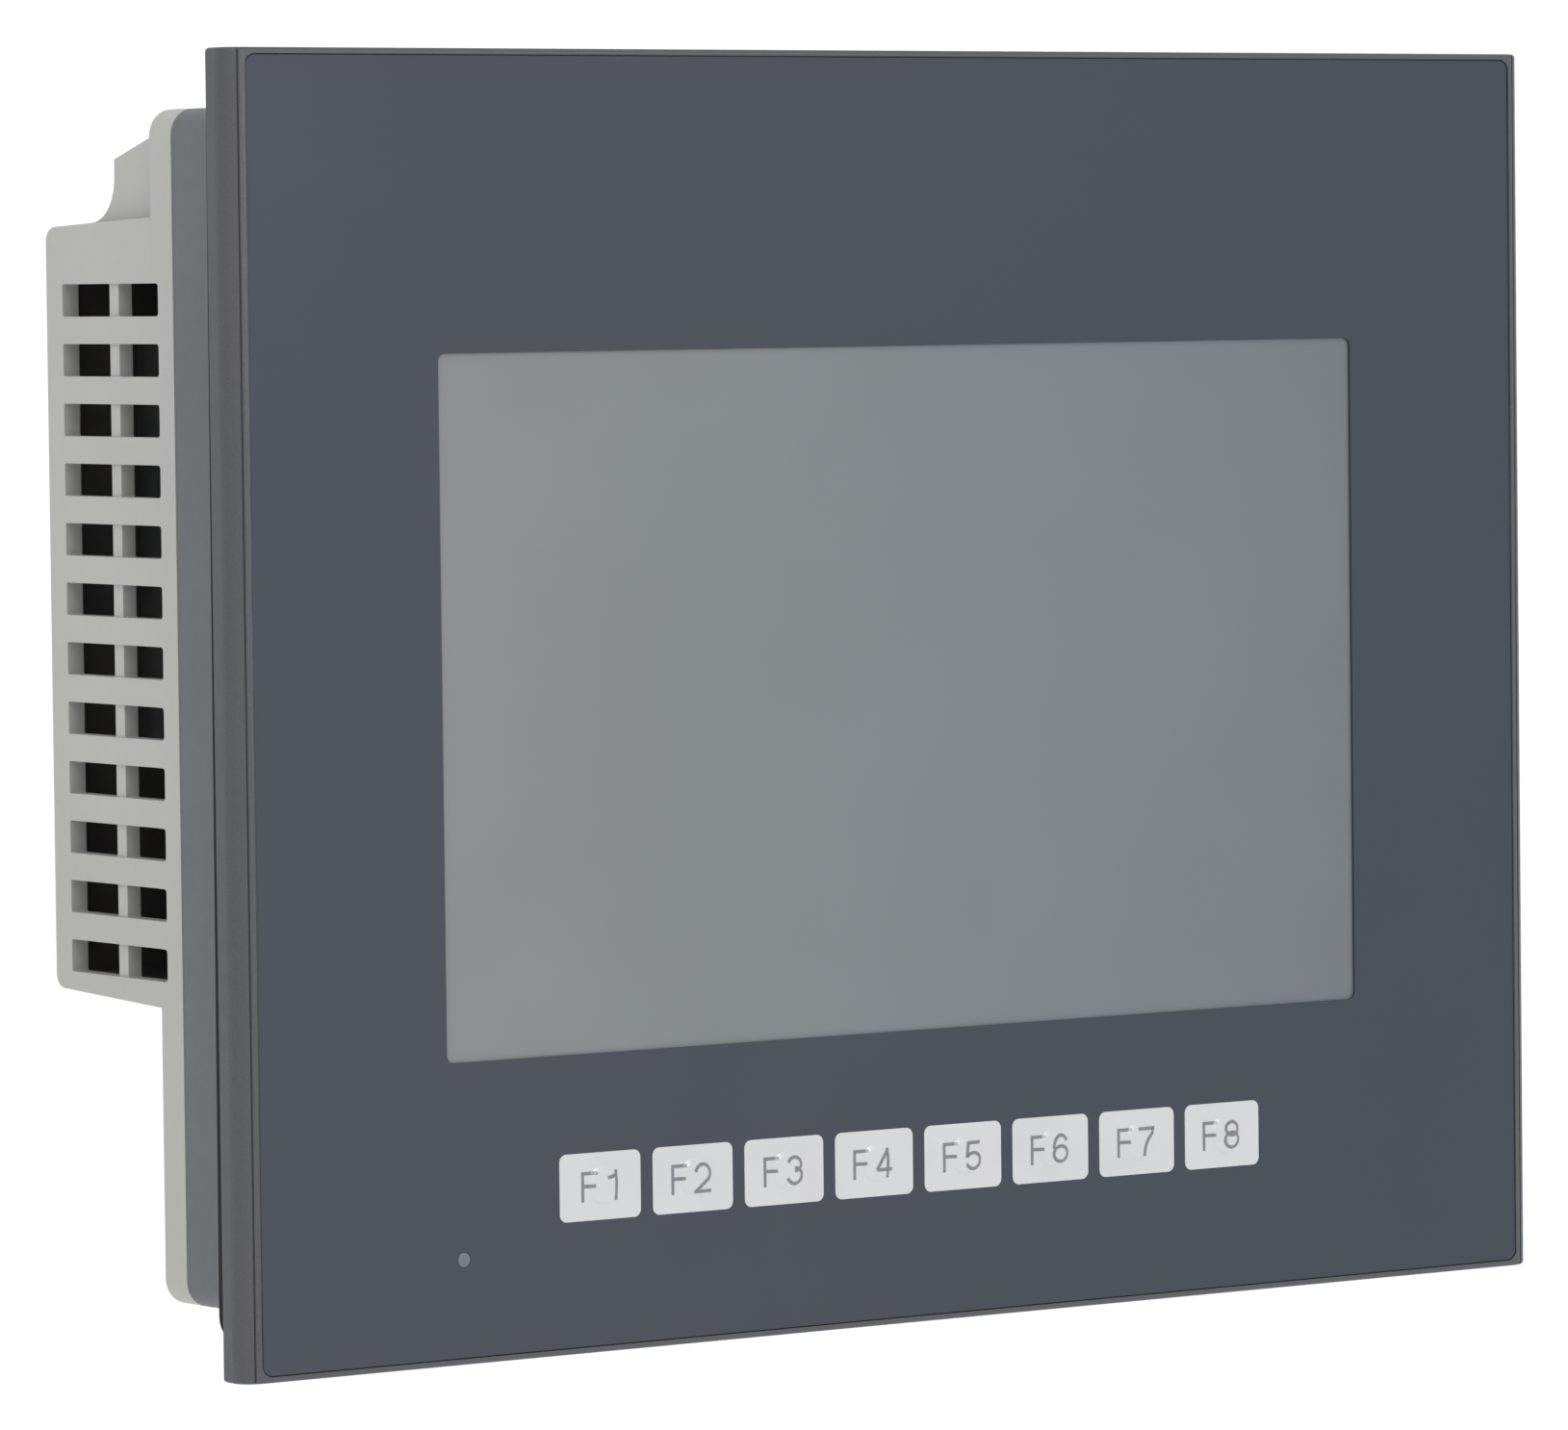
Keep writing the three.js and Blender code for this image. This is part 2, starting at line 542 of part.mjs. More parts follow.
function boardParts() {
  addPart('memory_chip_1', block(-28, -14, PORT_D, PORT_D + 1.2, 8, 20), 'chip')
  addPart('memory_chip_2', block(-10, 4, PORT_D, PORT_D + 1.2, 8, 20), 'chip')
  const can = rod(6, PORT_D, PORT_D + 6.5, 64, 44)
  addPart('buzzer', carve([can], [rod(1, PORT_D + 5, PORT_D + 7, 64, 44)]), 'chip')
  const holder = rod(12.5, PORT_D, PORT_D + 5, 30, 38, 24)
  const bay = rod(10.3, PORT_D + 1, PORT_D + 6, 30, 38, 24)
  const notch = block(26, 34, PORT_D + 1, PORT_D + 6, 46, 52)
  addPart('battery_holder', carve([holder], [bay, notch]), 'chip')
  addPart('battery', carve([
    rod(10, PORT_D + 1.2, PORT_D + 4.2, 30, 38, 24),
    rod(8.4, PORT_D + 4, PORT_D + 4.5, 30, 38, 24)
  ]), 'steel')
  const coil = block(50, 62, PORT_D, PORT_D + 8, 6, 18)
  const caps = block(53, 59, PORT_D + 7.5, PORT_D + 9, 9, 15)
  addPart('power_coil', carve([coil, caps]), 'chip')
}

// ---------------------------------------------------------------- connectors
// jack with one rectangular mouth facing down
function jack(name, socket, mouthW, mouthH, deep, length, finish) {
  const { x, w, d0, d1 } = socket
  const mid = (d0 + d1) / 2
  const bottom = HUMP_BOTTOM + 0.8
  const body = block(x - w / 2, x + w / 2, Math.max(d0, PORT_D), d1, bottom, bottom + length)
  const mouth = block(x - mouthW / 2, x + mouthW / 2, mid - mouthH / 2, mid + mouthH / 2,
    bottom - 1, bottom + deep)
  addPart(name, carve([body], [mouth]), finish)
}

// nine-pin D connector: flange, shell and pins in one moulding
function serialPort() {
  const { x, w, d0, d1 } = SOCKETS.serial
  const mid = (d0 + d1) / 2
  const bottom = HUMP_BOTTOM + 0.8
  const shellOf = (half, h) => polygon([
    [-half, -h], [half, -h], [half + h * 0.35, h], [-half - h * 0.35, h]
  ])
  // outline lies in X and Y, length runs up Z
  const upright = (shape, z0, z1) => extrude(shape, z1 - z0).translate(x, yOf(mid), z0)
  const flange = block(x - w / 2 + 0.4, x + w / 2 - 0.4, d0 + 0.2, d1 - 0.2, bottom + 4, bottom + 5)
  const shell = upright(shellOf(7.6, 4.1), bottom - 1.6, bottom + 4.5)
  const cavity = upright(shellOf(7.1, 3.6), bottom - 3, bottom + 3.8)
  const body = block(x - 9.5, x + 9.5, Math.max(d0 + 0.4, PORT_D), d1 - 0.6, bottom + 4.8, bottom + 14)
  const pins = []
  for (const [count, depth] of [[5, mid + 1.4], [4, mid - 1.4]]) {
    for (let i = 0; i < count; i += 1) {
      pins.push(post(0.5, bottom - 0.6, bottom + 5, x + (i - (count - 1) / 2) * 2.74, depth, 8))
    }
  }
  const hollow = toGeometry(toSolid(shell).subtract(toSolid(cavity)))
  const nuts = [-12.5, 12.5].map(dx => post(2.5, bottom - 0.8, bottom + 4.5, x + dx, mid, 6))
  addPart('serial_port', carve([flange, hollow, body, ...pins, ...nuts]), 'steel')
}

const PLUG = { w: 16.4, d0: 43, d1: 54 }
const TERMINALS = [-5.08, 0, 5.08]

function powerInlet() {
  const { x, w, d0, d1 } = SOCKETS.power
  const bottom = HUMP_BOTTOM + 0.8
  const shell = block(x - w / 2, x + w / 2, d0, d1, bottom, bottom + 13)
  const bayHalf = PLUG.w / 2 + 0.25
  const bay = block(x - bayHalf, x + bayHalf, PLUG.d0 - 0.25, PLUG.d1 + 0.25, bottom - 1, bottom + 10.5)
  const pins = TERMINALS.map(dx => block(x + dx - 0.5, x + dx + 0.5, 48, 49, bottom + 3, bottom + 11))
  const foot = block(x - w / 2, x + w / 2, PORT_D, d0 + 1, bottom + 8, bottom + 13)
  const housing = union(shell, foot).subtract(toSolid(bay))
  addPart('power_header', toGeometry(housing.add(union(...pins))), 'plug')
  const plugBody = block(x - PLUG.w / 2, x + PLUG.w / 2, PLUG.d0, PLUG.d1, bottom - 5, bottom + 10)
  const cuts = []
  for (const dx of TERMINALS) {
    cuts.push(block(x + dx - 1, x + dx + 1, 47.5, 49.5, bottom + 2, bottom + 11))
    cuts.push(block(x + dx - 1.6, x + dx + 1.6, 45.2, 49.2, bottom - 6, bottom - 2.5))
    cuts.push(rod(2.1, PLUG.d1 - 3.4, PLUG.d1 + 1, x + dx, bottom - 2.6, 12))
  }
  addPart('power_plug', carve([plugBody], cuts), 'plug')
  TERMINALS.forEach((dx, i) => {
    const z = bottom - 2.6
    const head = rod(1.85, PLUG.d1 - 3.2, PLUG.d1 - 0.4, x + dx, z, 12)
    const slot = block(x + dx - 1.5, x + dx + 1.5, PLUG.d1 - 1.3, PLUG.d1 + 1, z - 0.3, z + 0.3)
    addPart(`terminal_screw_${i + 1}`, carve([head], [slot]), 'steel')
  })
}

// ---------------------------------------------------------------- memory card bay
function cardBay() {
  const door = CARD_DOOR
  const cx = (door.x0 + door.x1) / 2
  const top = HUMP_BOTTOM + 6
  const body = block(cx - 14, cx + 14, PORT_D + 0.2, PORT_D + 3.8, top, top + 26)
  const slot = block(cx - 12.3, cx + 12.3, PORT_D + 0.8, PORT_D + 3.1, top - 1, top + 24)
  addPart('card_socket', carve([body], [slot]), 'steel')
  // door panel with two knuckles around the hinge pin
  const panel = block(door.x0, door.x1, door.d0, door.d1 - 0.6, HUMP_BOTTOM + 1, HUMP_BOTTOM + 2.5)
  const clear = [door.x0 + 1.5, door.x1 - 1.5].map(x =>
    block(x - 1.4, x + 1.4, door.d1 - 3.6, door.d1 + 1, HUMP_BOTTOM, HUMP_BOTTOM + 6))
  const lip = block(cx - 5, cx + 5, door.d0 + 0.6, door.d0 + 1.8, HUMP_BOTTOM + 0.5, HUMP_BOTTOM + 1.2)
  const knuckles = [-11, 11].map(dx => doorAxle(1.5, 5, dx, 20))
  addPart('card_door', carve([panel, lip, ...knuckles], [...clear, doorAxle(0.8, 40, 0)]), 'paleCase')
  addPart('card_door_pin', doorAxle(0.6, door.x1 - door.x0 - 0.6, 0), 'steel')
}

// ---------------------------------------------------------------- ribbon cables
// flat strip following points in depth and z, filled across its width
function ribbon(name, x0, x1, path) {
  const t = 0.35
  const left = []
  const right = []
  path.forEach(([d, z], i) => {
    const before = path[Math.max(0, i - 1)]
    const after = path[Math.min(path.length - 1, i + 1)]
    const run = new THREE.Vector2(after[0] - before[0], after[1] - before[1]).normalize()
    left.push([yOf(d - run.y * t / 2), z + run.x * t / 2])
    right.push([yOf(d + run.y * t / 2), z - run.x * t / 2])
  })
  addPart(name, bar(polygon([...right, ...left.reverse()]), x0, x1), 'ribbon')
}

function ribbons() {
  ribbon('lcd_cable', -15, 15,
    [[9.2, -20], [10, -14], [12, -8], [15, -4], [22, -2], [30, 4], [35, 12], [37.4, 20]])
  ribbon('touch_cable', -66, -54,
    [[9.4, 30], [10.5, 20], [12, 11], [15, 6], [22, 6], [30, 14], [35, 22], [37.4, 30]])
  ribbon('key_cable', 28, 44,
    [[6.4, -60], [9, -55], [12, -51], [16, -47], [22, -41], [26, -34], [32, -29], [36, -22], [37.4, -15]])
}

// ---------------------------------------------------------------- assembly
frontCase()
overlaySheet()
screenStack()
for (let i = 0; i < KEY_COUNT; i += 1) functionKey(i)
keyBoard()
statusLamp()
gasket()
rearCover()
for (let i = 0; i < CASE_SCREWS.length; i += 1) caseScrew(i)
ratingLabel()
shieldPlate()
mainBoard()
processorAndSink()
boardParts()
serialPort()
jack('com2_port', SOCKETS.com2, 11.8, 8, 12, 21, 'steel')
jack('ethernet_port', SOCKETS.ethernet, 11.8, 8, 12, 21, 'steel')
jack('usb_host_port', SOCKETS.usb, 12.6, 5.2, 9, 14, 'steel')
jack('usb_mini_port', SOCKETS.mini, 7, 3.2, 6, 9, 'steel')
powerInlet()
cardBay()
ribbons()
LCD_SCREWS.forEach(([x, z], i) => panScrew(`lcd_screw_${i + 1}`, x, z, 7.9, 4, 2.1, 1))
BOARD_SCREWS.forEach(([x, z], i) => panScrew(`board_screw_${i + 1}`, x, z, BOARD_REAR + 0.1, 30, 2.4, 1.1))

export default group
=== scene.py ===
"""Looks of a panel-mount operator touch panel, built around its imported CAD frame."""

import json
import math

import bmesh
import bpy
from mathutils import Matrix, Vector


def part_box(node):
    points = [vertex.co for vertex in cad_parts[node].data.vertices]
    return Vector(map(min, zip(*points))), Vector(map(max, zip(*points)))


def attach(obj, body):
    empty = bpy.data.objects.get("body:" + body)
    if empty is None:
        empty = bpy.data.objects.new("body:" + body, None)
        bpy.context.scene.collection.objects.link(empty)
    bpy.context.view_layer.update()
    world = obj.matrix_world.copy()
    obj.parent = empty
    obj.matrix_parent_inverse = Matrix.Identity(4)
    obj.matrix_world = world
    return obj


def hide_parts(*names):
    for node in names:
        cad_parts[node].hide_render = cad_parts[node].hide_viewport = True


MM = 0.001
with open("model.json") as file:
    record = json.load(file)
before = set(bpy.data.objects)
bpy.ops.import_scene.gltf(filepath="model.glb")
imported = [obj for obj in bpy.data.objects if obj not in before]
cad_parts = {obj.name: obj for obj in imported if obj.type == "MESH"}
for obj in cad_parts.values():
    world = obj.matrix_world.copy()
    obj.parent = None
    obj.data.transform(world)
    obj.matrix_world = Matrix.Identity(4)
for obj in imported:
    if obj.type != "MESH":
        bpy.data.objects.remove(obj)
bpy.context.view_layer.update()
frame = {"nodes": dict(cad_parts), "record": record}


# ---------------------------------------------------------------- sizes, in millimetres
def spans(node):
    """Low and high ends of a CAD node across, in depth behind the front plane, and up."""
    low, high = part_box(node)
    across = (low.x / MM, high.x / MM)
    depth = ((low.y - FRONT_Y) / MM, (high.y - FRONT_Y) / MM)
    up = (low.z / MM, high.z / MM)
    return across, depth, up


def size_of(node):
    """Width and height of a CAD node."""
    across, _, up = spans(node)
    return across[1] - across[0], up[1] - up[0]


def middle_of(node):
    """Centre of a CAD node, across and up."""
    across, _, up = spans(node)
    return sum(across) / 2, sum(up) / 2


FRONT_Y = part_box("front_case")[0].y
CASE_W, CASE_H = size_of("front_case")
BODY_W, BODY_H = size_of("rear_cover")
SHEET_W, SHEET_H = size_of("front_sheet")
SEAM = spans("front_case")[1][1]
REAR = spans("rear_cover")[1][1]

# front case and gasket
FLANGE = 5.0
SIDE_ROUND = 3.0
RIM_EASE = 0.5
GROOVE_IN = 1.9
GROOVE_W = 0.26
GROOVE_DEEP = 0.25
BODY_R = 3.5
WALL = 2.5
SEAM_GAP = 0.4
WINDOW_CLEAR = 5.0
KEY_CLEAR = 0.5
LAMP_CLEAR = 0.15
GASKET_R = 4.0
GASKET_SECTION = 2.5
GASKET_TAPER = 0.3
CLAMP_X = 62
CLAMP_HALF = 7.0
CLAMP_DEEP = 1.4
CLAMP_DEPTHS = (10, 15)

# overlay sheet and screen window
SHEET_FACE = 0.1
SHEET_T = 0.35
SHEET_R = 1.5
SHEET_GAP = 0.13
RECESS = 0.5
WINDOW = (153.6, 93.2)
WINDOW_R = 1.1
LAMP_R = 1.0
LAMP_GAP = 0.015
LAMP_DEEP = 2.9

# keys and their printed numbers
KEY_W = 13.15
KEY_H = 9.1
KEY_R = 1.1
KEY_GAP = 0.02
KEY_EASE = 0.06
KEY_DEEP = 2.6
DOME_R = 2.8
DOME_EDGE = 0.8
DOME_SHIFT = 0.4
DOME_RISE = 0.25
STROKE = 0.46
LETTER_H = 4.05
LETTER_W = 2.5
DIGIT_W = 2.9
ADVANCE = 3.6
TEXT_SHIFT = -0.18
PRINT_LIFT = 0.02

# rear cover: shallow base, deep part, block above it, vents and screw wells
BASE_REAR = 30.7
LEAN = 0.037
HUMP_TOP = 65.2
HUMP_BOTTOM = -40.0
REAR_ROUND = 2.0
SIDE_EASE = 0.7
BLOCK_REAR = 44.5
BLOCK_HALF = 98.7
BLOCK_TOPS = (76.9, 72.7)
COVE = 6.0
VENT_ROWS = 12
VENT_PITCH = 8.0
VENT_TOP = 54.0
VENT_H = 4.35
VENT_DEPTHS = (29.1, 55.1)
VENT_BAR = (40.6, 42.9)
VENT_CORNER = 0.25
VENT_FRONT_CORNER = 0.5
BAR_SUNK = 0.4
WELL_R = 3.1
TUBE_R = 4.6
SHAFT_R = 1.75
HEAD_SEAT = 2.1
TUBE_PAST_HEAD = 5.4
MOUTH_GAP = 0.4
DOOR_GAP = 0.3
DOOR_REAR_GAP = 0.8
LABEL_GAP = 0.5
LABEL_DEEP = 0.3
PORTS = (
    "power_header",
    "serial_port",
    "com2_port",
    "ethernet_port",
    "usb_host_port",
    "usb_mini_port",
)

# camera of the main view: place in millimetres, angles in degrees, lens for a 36 mm sensor
CAMERA_AT = (-738.27, -997.30, 57.25)
CAMERA_AZIMUTH = -35.692
CAMERA_PITCH = -2.799
CAMERA_ROLL = -0.643
CAMERA_LENS = 209.87


# ---------------------------------------------------------------- geometry helpers
def at(x, d, z):
    """Frame point from millimetres across, behind the front plane, and up."""
    return Vector((x * MM, FRONT_Y + d * MM, z * MM))


def lean(d):
    """How far the walls of the deep part have leaned in at a depth."""
    return (d - SEAM) * LEAN


def arc(cx, cy, r, first, last, steps=8, tall=1.0):
    """Points along a round between two angles in degrees; tall stretches it upwards."""
    turns = [math.radians(first + (last - first) * i / steps) for i in range(steps + 1)]
    return [(cx + r * math.cos(t), cy + r * tall * math.sin(t)) for t in turns]


def disc(x, z, r, steps=48):
    """Closed circle."""
    return arc(x, z, r, 0, 360, steps)[:-1]


def rounded(w, h, r, cx=0.0, cz=0.0, steps=8):
    """Rounded rectangle, anticlockwise from its lower right corner."""
    points = []
    for sx, sz, first in ((1, -1, -90), (1, 1, 0), (-1, 1, 90), (-1, -1, 180)):
        points += arc(cx + sx * (w / 2 - r), cz + sz * (h / 2 - r), r, first, first + 90, steps)
    return points


def quarter(radius, steps=5):
    """Inset and advance along a quarter round, from the side onto the end face."""
    turns = [math.radians(90 * i / steps) for i in range(steps + 1)]
    return [(radius * (1 - math.cos(t)), radius * math.sin(t)) for t in turns]


def mesh_object(name, bm):
    """Object from a bmesh, with its faces turned outwards."""
    bmesh.ops.recalc_face_normals(bm, faces=bm.faces)
    mesh = bpy.data.meshes.new(name)
    bm.to_mesh(mesh)
    bm.free()
    thing = bpy.data.objects.new(name, mesh)
    bpy.context.scene.collection.objects.link(thing)
    return thing


def loft(name, rings, capped=True):
    """Skin over rings of equally many frame points: closed at both ends, or back to the first ring."""
    bm = bmesh.new()
    rows = [[bm.verts.new(p) for p in ring] for ring in rings]
    follow = rows[1:] if capped else rows[1:] + rows[:1]
    for a, b in zip(rows, follow):
        for i in range(len(a)):
            j = (i + 1) % len(a)
            bm.faces.new((a[i], a[j], b[j], b[i]))
    if capped:
        bm.faces.new(rows[0])
        bm.faces.new(rows[-1])
    return mesh_object(name, bm)


def prism(name, outline, d0, d1):
    """Outline across and up, filled from one depth to another."""
    return loft(name, [[at(x, d, z) for x, z in outline] for d in (d0, d1)])


def side_prism(name, outline, x0, x1):
    """Outline in depth and up, filled from one x to another."""
    return loft(name, [[at(x, d, z) for d, z in outline] for x in (x0, x1)])


def box(name, x0, x1, d0, d1, z0, z1):
    """Plain block between two corners."""
    return prism(name, [(x0, z0), (x1, z0), (x1, z1), (x0, z1)], d0, d1)


def turned(name, x, z, profile, steps=48):
    """Stack of circles around an axis that runs in depth; profile holds radius and depth."""
    return loft(name, [[at(px, d, pz) for px, pz in disc(x, z, r, steps)] for r, d in profile])


def join(name, things):
    """One object from several."""
    bm = bmesh.new()
    for thing in things:
        bm.from_mesh(thing.data)
        bpy.data.objects.remove(thing)
    return mesh_object(name, bm)


def combine(target, other, operation):
    """Applies a boolean of two closed objects to the first and drops the second."""
    step = target.modifiers.new("combine", "BOOLEAN")
    step.operation = operation
    step.object = other
    step.solver = "EXACT"
    step.material_mode = "TRANSFER"
    graph = bpy.context.evaluated_depsgraph_get()
    graph.update()
    mesh = bpy.data.meshes.new_from_object(target.evaluated_get(graph))
    target.modifiers.clear()
    target.data = mesh
    bpy.data.objects.remove(other)
    return target


def cut(target, tools):
    """Takes away several closed objects that don't touch one another."""
    return combine(target, join("tools", tools), "DIFFERENCE")


def smooth(thing, angle=30):
    """Smooth shading, kept sharp where faces meet at more than an angle."""
    thing.data.shade_smooth()
    thing.data.set_sharp_from_angle(angle=math.radians(angle))
    return thing


def ease(thing, width, segments=2):
    """Small rounded edges wherever two faces meet sharply."""
    step = thing.modifiers.new("ease", "BEVEL")
    step.width = width * MM
    step.segments = segments
    step.limit_method = "ANGLE"
    step.angle_limit = math.radians(32)
    step.harden_normals = True
    return smooth(thing)


def dress(thing, body, nodes, finish):
    """Puts a finished piece on its body, in place of CAD nodes, with its finish."""
    thing.data.materials.clear()
    thing.data.materials.append(MATERIALS[finish])
    mount(thing, body, nodes)


def mount(thing, body, nodes):
    """Puts a piece on its body, in place of CAD nodes."""
    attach(thing, body)
    if nodes:
        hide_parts(*nodes)


# ---------------------------------------------------------------- materials
def linear(rgb):
    """Screen colour from 0 to 255 as linear light."""
    values = []
    for c in rgb:
        c = c / 255
        values.append(c / 12.92 if c <= 0.04045 else ((c + 0.055) / 1.055) ** 2.4)
    return (*values, 1.0)


class Finish:
    """A procedural surface built up one node at a time."""

    def __init__(self, name, rgb, roughness, metallic=0.0):
        """Plain surface with one colour, to which the other methods add variation."""
        self.name = name
        self.material = bpy.data.materials.new(name)
        self.material.use_nodes = True
        self.tree = self.material.node_tree
        self.shader = self.tree.nodes["Principled BSDF"]
        self.shader.inputs["Roughness"].default_value = roughness
        self.shader.inputs["Metallic"].default_value = metallic
        self.shader.inputs["Base Color"].default_value = linear(rgb)
        self.rgb = rgb
        self.rough = roughness
        self.coords = self.tree.nodes.new("ShaderNodeTexCoord").outputs["Object"]

    def link(self, a, b):
        """Joins an output socket to an input socket."""
        self.tree.links.new(a, b)

    def noise(self, grain_mm, detail=4.0, stretch=(1, 1, 1)):
        """Noise whose features are about this many millimetres across."""
        spread = self.tree.nodes.new("ShaderNodeMapping")
        spread.inputs["Scale"].default_value = [s / (grain_mm * MM) for s in stretch]
        self.link(self.coords, spread.inputs["Vector"])
        node = self.tree.nodes.new("ShaderNodeTexNoise")
        node.inputs["Scale"].default_value = 1.0
        node.inputs["Detail"].default_value = detail
        self.link(spread.outputs["Vector"], node.inputs["Vector"])
        return node.outputs["Fac"]

    def between(self, factor, start, end, low, high):
        """Maps a range onto another."""
        node = self.tree.nodes.new("ShaderNodeMapRange")
        node.inputs["From Min"].default_value = start
        node.inputs["From Max"].default_value = end
        node.inputs["To Min"].default_value = low
        node.inputs["To Max"].default_value = high
        self.link(factor, node.inputs["Value"])
        return node.outputs["Result"]

    def mix(self, factor, a, b):
        """Mixes two colours, each a screen colour or another node's output."""
        node = self.tree.nodes.new("ShaderNodeMix")
        node.data_type = "RGBA"
        for socket, colour in (("A", a), ("B", b)):
            if isinstance(colour, tuple):
                node.inputs[socket].default_value = linear(colour)
            else:
                self.link(colour, node.inputs[socket])
        self.link(factor, node.inputs["Factor"])
        self.link(node.outputs["Result"], self.shader.inputs["Base Color"])
        return node.outputs["Result"]

    def blotch(self, grain_mm, amount):
        """Slow brightness change over the surface."""
        light = tuple(min(255, c * (1 + amount)) for c in self.rgb)
        dark = tuple(c * (1 - amount) for c in self.rgb)
        self.mix(self.between(self.noise(grain_mm), 0.3, 0.7, 0.0, 1.0), dark, light)
        return self

    def across(self, left, right, half_mm, amount=0.012):
        """Painted light: colour that drifts from one shade at the left to another at the right over the
        width, standing in for how light falls across the surface, with a little random unevenness of
        tone.
        """
        split = self.tree.nodes.new("ShaderNodeSeparateXYZ")
        self.link(self.coords, split.inputs["Vector"])
        painted_light_drift = self.between(split.outputs["X"], -half_mm * MM, half_mm * MM, 0.0, 1.0)
        light = [tuple(c * (1 + amount) for c in rgb) for rgb in (left, right)]
        dark = [tuple(c * (1 - amount) for c in rgb) for rgb in (left, right)]
        uneven = self.between(self.noise(30, 2.0), 0.3, 0.7, 0.0, 1.0)
        self.mix(uneven, self.mix(painted_light_drift, *dark), self.mix(painted_light_drift, *light))
        return self

    def gloss(self, level):
        """Strength of the surface reflection; a plain plastic has 0.5."""
        self.shader.inputs["Specular IOR Level"].default_value = level
        return self

    def uneven(self, grain_mm, amount):
        """Roughness that varies a little."""
        low, high = self.rough - amount, self.rough + amount
        varied = self.between(self.noise(grain_mm), 0.3, 0.7, low, high)
        self.link(varied, self.shader.inputs["Roughness"])
        return self

    def grain(self, grain_mm, height_mm, detail=3.0, stretch=(1, 1, 1)):
        """Fine raised texture."""
        bump = self.tree.nodes.new("ShaderNodeBump")
        bump.inputs["Strength"].default_value = 1.0
        bump.inputs["Distance"].default_value = height_mm * MM
        self.link(self.noise(grain_mm, detail, stretch), bump.inputs["Height"])
        self.link(bump.outputs["Normal"], self.shader.inputs["Normal"])
        return self


def plastics():
    """Moulded and printed surfaces."""
    film = Finish("overlay_film", (54, 61, 70), 0.45)
    # Painted reflection: the sheet is lighter at the left and darker towards the right, standing in for
    # the lamps' reflection.
    film.across((54, 59, 68), (46, 54, 63), SHEET_W / 2)
    film.grain(0.12, 0.002).gloss(0.28)
    return [
        Finish("case_dark", (60, 65, 69), 0.42).blotch(0.2, 0.09).uneven(2, 0.06).grain(0.2, 0.03),
        Finish("case_collar", (84, 88, 92), 0.55).blotch(25, 0.02).uneven(2, 0.04).grain(0.3, 0.01),
        film,
        Finish("key_white", (180, 183, 184), 0.22).blotch(10, 0.01).grain(0.1, 0.001),
        Finish("key_print", (104, 110, 113), 0.25).blotch(1, 0.03),
        Finish("lamp_lens", (90, 96, 104), 0.3).blotch(0.5, 0.02),
        Finish("gasket_rubber", (22, 22, 24), 0.8).blotch(8, 0.06).grain(0.4, 0.03).gloss(0.2),
        Finish("cover_pale", (160, 160, 157), 0.55).blotch(30, 0.012).uneven(2, 0.05).grain(0.3, 0.01),
        # Dark inside of the cover: painted shade, standing in for the shade inside the closed cover.
        Finish("cover_inside_painted_shade", (72, 70, 65), 0.8).blotch(10, 0.05).grain(0.4, 0.01),
        Finish("terminal_plastic", (40, 118, 66), 0.45).blotch(5, 0.04).grain(0.3, 0.004),
        Finish("chip_black", (26, 27, 29), 0.5).blotch(2, 0.08).grain(0.2, 0.006),
        Finish("label_blank", (196, 199, 200), 0.4).blotch(20, 0.012).grain(0.3, 0.002),
        Finish("ribbon_film", (205, 198, 180), 0.4).blotch(3, 0.03),
        Finish("board_green", (28, 74, 48), 0.35).blotch(3, 0.1).grain(0.8, 0.01),
    ]


def glasses():
    """The screen and the layers behind it."""
    touch = Finish("touch_glass", (120, 125, 130), 0.35)
    # Painted light: the screen is lighter at the left and shaded darker towards the right.
    touch.across((114, 118, 121), (97, 103, 107), WINDOW[0] / 2)
    touch.grain(0.1, 0.001).gloss(0.3)
    return [
        touch,
        Finish("lcd_glass", (60, 63, 66), 0.3).blotch(30, 0.02),
        Finish("backlight_white", (220, 222, 222), 0.5).blotch(20, 0.02),
    ]


def metals():
    """Sheet, screws, heat sink and connector shells."""
    rolled = (0.1, 1, 1)
    drawn = (1, 1, 0.1)
    sheet = Finish("steel_sheet", (150, 152, 154), 0.38, 1.0)
    sheet.uneven(3, 0.08).grain(0.6, 0.004, stretch=rolled)
    sink = Finish("sink_alloy", (150, 152, 155), 0.45, 1.0)
    sink.uneven(2, 0.06).grain(0.4, 0.004, stretch=drawn)
    return [
        sheet,
        Finish("screw_steel", (175, 175, 172), 0.3, 1.0).uneven(0.6, 0.08).grain(0.3, 0.004),
        sink,
        Finish("port_shell", (185, 186, 188), 0.25, 1.0).uneven(1.5, 0.06).grain(0.8, 0.003),
    ]


MATERIALS = {made.name: made.material for made in plastics() + glasses() + metals()}


# ---------------------------------------------------------------- front case
def flange_plan():
    """Half plan of the flange in x and depth, from the middle of the front round to the rear."""
    centre_x = CASE_W / 2 - SIDE_ROUND
    groove = [CASE_W / 2 - GROOVE_IN + side * GROOVE_W / 2 for side in (-1, 1)]
    turns = [math.degrees(math.acos((x - centre_x) / SIDE_ROUND)) for x in groove]
    before = arc(centre_x, SIDE_ROUND, SIDE_ROUND, -90, -turns[0], 5)
    after = arc(centre_x, SIDE_ROUND, SIDE_ROUND, -turns[1], 0, 14)
    floor = [(groove[0] + GROOVE_W * 0.3, before[-1][1] + GROOVE_DEEP)]
    floor.append((groove[1] - GROOVE_W * 0.3, after[0][1] + GROOVE_DEEP))
    return before + floor + after + [(CASE_W / 2, FLANGE)]


